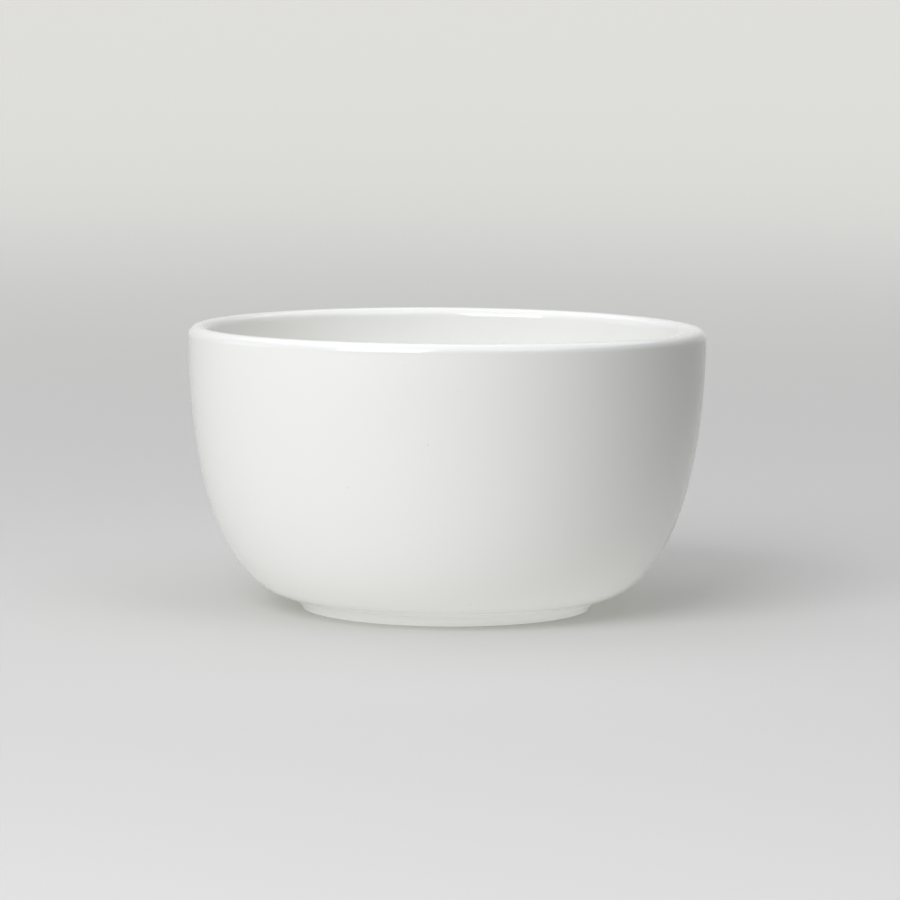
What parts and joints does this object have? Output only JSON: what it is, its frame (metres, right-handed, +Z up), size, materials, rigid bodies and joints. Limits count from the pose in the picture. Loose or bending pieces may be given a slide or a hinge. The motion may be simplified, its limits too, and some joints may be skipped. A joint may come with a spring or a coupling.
{
  "type": "bowl",
  "caption": "Deep round white porcelain bowl with curved sides, a rounded lip and a short sloping foot, for soup, cereal or rice.",
  "frame": {"origin": "centre of the foot ring, on the surface that the bowl stands on", "axes": "+Z up along the bowl's axis of revolution, +X and +Y across the rim, +X to the right in the picture's view"},
  "size_m": [0.13, 0.13, 0.0711],
  "materials": {
    "porcelain": "bare fired porcelain, matte and slightly rough, off-white",
    "white_glaze": "clear gloss glaze over white porcelain, smooth and slightly warm where it pools"
  },
  "bodies": {
    "root": {"porcelain_body": "porcelain", "main_glaze": "white_glaze", "recess_glaze": "white_glaze"}
  },
  "joints": []
}
